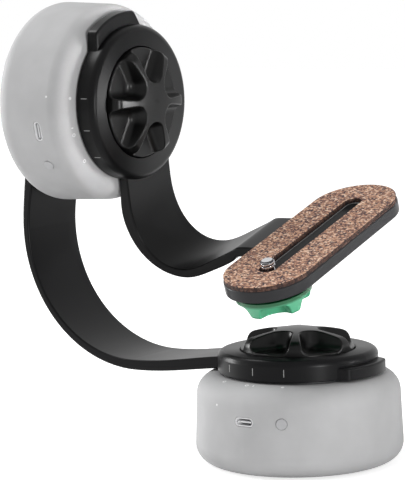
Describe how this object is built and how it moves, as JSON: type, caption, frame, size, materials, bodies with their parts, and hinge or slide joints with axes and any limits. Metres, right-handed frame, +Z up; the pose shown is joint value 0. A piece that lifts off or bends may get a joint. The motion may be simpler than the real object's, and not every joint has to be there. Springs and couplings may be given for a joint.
{
  "type": "pan tilt bracket",
  "caption": "Motorised pan and tilt bracket: round drive heads, curved black arms, hand knobs, and a slotted cork-faced camera plate with a sliding screw.",
  "frame": {"origin": "mouth of the tripod socket, at the underside of the pan head's rubber pad, on the pan axis", "axes": "+Z up along the pan axis; the tilt axis runs along X, with the tilt head on the -X side and its platter facing +X"},
  "size_m": [0.1905, 0.1169, 0.2067],
  "materials": {
    "housing_grey": "fine satin moulded plastic",
    "inner_plastic": "moulded plastic",
    "gear_nylon": "natural nylon",
    "pad_rubber": "soft rubber",
    "bush_bronze": "turned bronze",
    "zinc_steel": "zinc plated",
    "black_screw": "black oxide",
    "motor_steel": "drawn can",
    "battery_wrap": "shrink wrap",
    "circuit_green": "solder mask",
    "button_grey": "soft moulded plastic",
    "platter_alu": "turned",
    "arm_black": "black anodised, satin",
    "knob_black": "satin moulded plastic",
    "knob_mint": "satin moulded plastic",
    "cork": "pressed granulated cork",
    "screw_chrome": "bright plated",
    "collar_nylon": "smooth low-friction plastic"
  },
  "bodies": {
    "pan_base": {"pan_housing": "housing_grey", "pan_base_plate": "inner_plastic", "pan_base_pad": "pad_rubber", "pan_socket": "zinc_steel", "pan_base_screws": "black_screw", "pan_bush": "bush_bronze", "pan_motor": "motor_steel", "pan_battery": "battery_wrap", "pan_board": "circuit_green", "pan_port": "zinc_steel"},
    "pan_button": {"pan_button": "button_grey"},
    "pan_pinion": {"pan_pinion": "gear_nylon"},
    "pan_turn": {"pan_platter": "platter_alu", "pan_gear": "gear_nylon", "main_arm": "arm_black", "arm_screw": "black_screw", "tilt_housing": "housing_grey", "tilt_base_plate": "inner_plastic", "tilt_base_pad": "pad_rubber", "tilt_socket": "zinc_steel", "tilt_base_screws": "black_screw", "tilt_bush": "bush_bronze", "tilt_motor": "motor_steel", "tilt_battery": "battery_wrap", "tilt_board": "circuit_green", "tilt_port": "zinc_steel"},
    "pan_knob_lift": {"pan_knob_washer": "zinc_steel"},
    "pan_knob_turn": {"pan_knob": "knob_black", "pan_knob_stud": "zinc_steel"},
    "tilt_button": {"tilt_button": "button_grey"},
    "tilt_pinion": {"tilt_pinion": "gear_nylon"},
    "tilt_turn": {"tilt_platter": "platter_alu", "tilt_gear": "gear_nylon", "camera_arm": "arm_black", "cork_pad": "cork"},
    "tilt_knob_lift": {"tilt_knob_washer": "zinc_steel"},
    "tilt_knob_turn": {"tilt_knob": "knob_black", "tilt_knob_stud": "zinc_steel"},
    "screw_slide": {"slot_collar": "collar_nylon"},
    "camera_knob_turn": {"camera_screw": "screw_chrome", "camera_knob": "knob_mint"}
  },
  "joints": [
    {"name": "pan_turn", "type": "hinge", "parent": "pan_base", "child": "pan_turn", "pos_m": [0, 0, 0.0416], "axis": [0, 0, 1], "continuous": true},
    {"name": "pan_pinion_turn", "type": "hinge", "parent": "pan_base", "child": "pan_pinion", "pos_m": [0.02442, 0.01526, 0.0326], "axis": [0, 0, 1], "continuous": true},
    {"name": "pan_button_press", "type": "slide", "parent": "pan_base", "child": "pan_button", "axis": [-0.4067, 0.9135, 0], "range_m": [0, 0.0005], "stiffness_N_per_m": 400, "springref_m": -0.001},
    {"name": "tilt_turn", "type": "hinge", "parent": "pan_turn", "child": "tilt_turn", "pos_m": [-0.0935, 0, 0.16], "axis": [1, 0, 0], "continuous": true},
    {"name": "tilt_pinion_turn", "type": "hinge", "parent": "pan_turn", "child": "tilt_pinion", "pos_m": [-0.1025, 0.01986, 0.13914], "axis": [1, 0, 0], "continuous": true},
    {"name": "tilt_button_press", "type": "slide", "parent": "pan_turn", "child": "tilt_button", "axis": [0, 0.8131, 0.5821], "range_m": [0, 0.0005], "stiffness_N_per_m": 400, "springref_m": -0.001},
    {"name": "pan_knob_turn", "type": "hinge", "parent": "pan_knob_lift", "child": "pan_knob_turn", "pos_m": [0, 0, 0.0516], "axis": [0, 0, 1], "range_deg": [0, 1440]},
    {"name": "pan_knob_lift", "type": "slide", "parent": "pan_turn", "child": "pan_knob_lift", "axis": [0, 0, 1], "range_m": [0, 0.0051]},
    {"name": "tilt_knob_turn", "type": "hinge", "parent": "tilt_knob_lift", "child": "tilt_knob_turn", "pos_m": [-0.0835, 0, 0.16], "axis": [1, 0, 0], "range_deg": [0, 1440]},
    {"name": "tilt_knob_lift", "type": "slide", "parent": "tilt_turn", "child": "tilt_knob_lift", "axis": [1, 0, 0], "range_m": [0, 0.0051]},
    {"name": "camera_screw_slide", "type": "slide", "parent": "tilt_turn", "child": "screw_slide", "axis": [0, 0.9537, 0.3007], "range_m": [0, 0.0732]},
    {"name": "camera_knob_turn", "type": "hinge", "parent": "screw_slide", "child": "camera_knob_turn", "pos_m": [0, -0.01872, 0.0807], "axis": [0, -0.3007, 0.9537], "continuous": true}
  ],
  "couplings": [
    {"joint": "pan_pinion_turn", "follows": "pan_turn", "ratio": -5},
    {"joint": "tilt_pinion_turn", "follows": "tilt_turn", "ratio": -5},
    {"joint": "pan_knob_lift", "follows": "pan_knob_turn", "m_per_rad": 0.00020213},
    {"joint": "tilt_knob_lift", "follows": "tilt_knob_turn", "m_per_rad": 0.00020213}
  ]
}
